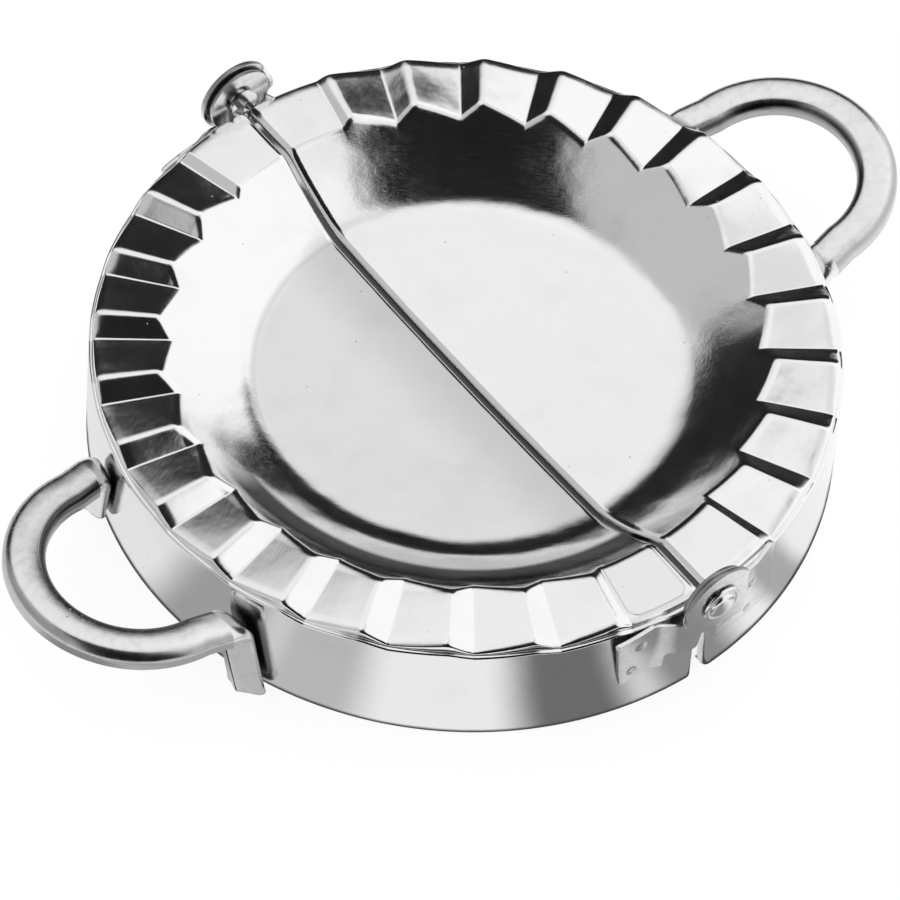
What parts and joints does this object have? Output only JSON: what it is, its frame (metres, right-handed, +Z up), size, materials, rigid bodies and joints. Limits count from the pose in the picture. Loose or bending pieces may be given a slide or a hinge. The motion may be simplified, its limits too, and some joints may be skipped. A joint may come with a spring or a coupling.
{
  "type": "ravioli mould",
  "caption": "Folding sheet-steel ravioli mould: two half dishes with a pleated rim, hinged at both ends of the seam, each with a loop handle.",
  "frame": {"origin": "on the table, under the middle of the seam, with the mould lying open", "axes": "+Z up, +X towards the right handle across the seam, the seam and the hinge axis along Y, the front at -Y"},
  "size_m": [0.1356, 0.102, 0.0225],
  "materials": {
    "dish": "bright polished pressed sheet",
    "handle": "polished channel strip",
    "plate": "stamped sheet, slightly dull",
    "rivet": "polished rivet"
  },
  "bodies": {
    "left_half": {"left_dish": "dish", "left_handle": "handle", "front_left_hinge_plate": "plate", "back_left_hinge_plate": "plate", "front_rivet": "rivet", "back_rivet": "rivet"},
    "right_half": {"right_dish": "dish", "right_handle": "handle", "front_right_hinge_plate": "plate", "back_right_hinge_plate": "plate"}
  },
  "joints": [
    {"name": "fold", "type": "hinge", "parent": "left_half", "child": "right_half", "pos_m": [0, 0, 0.0172], "axis": [0, -1, 0], "range_deg": [0, 180]}
  ]
}
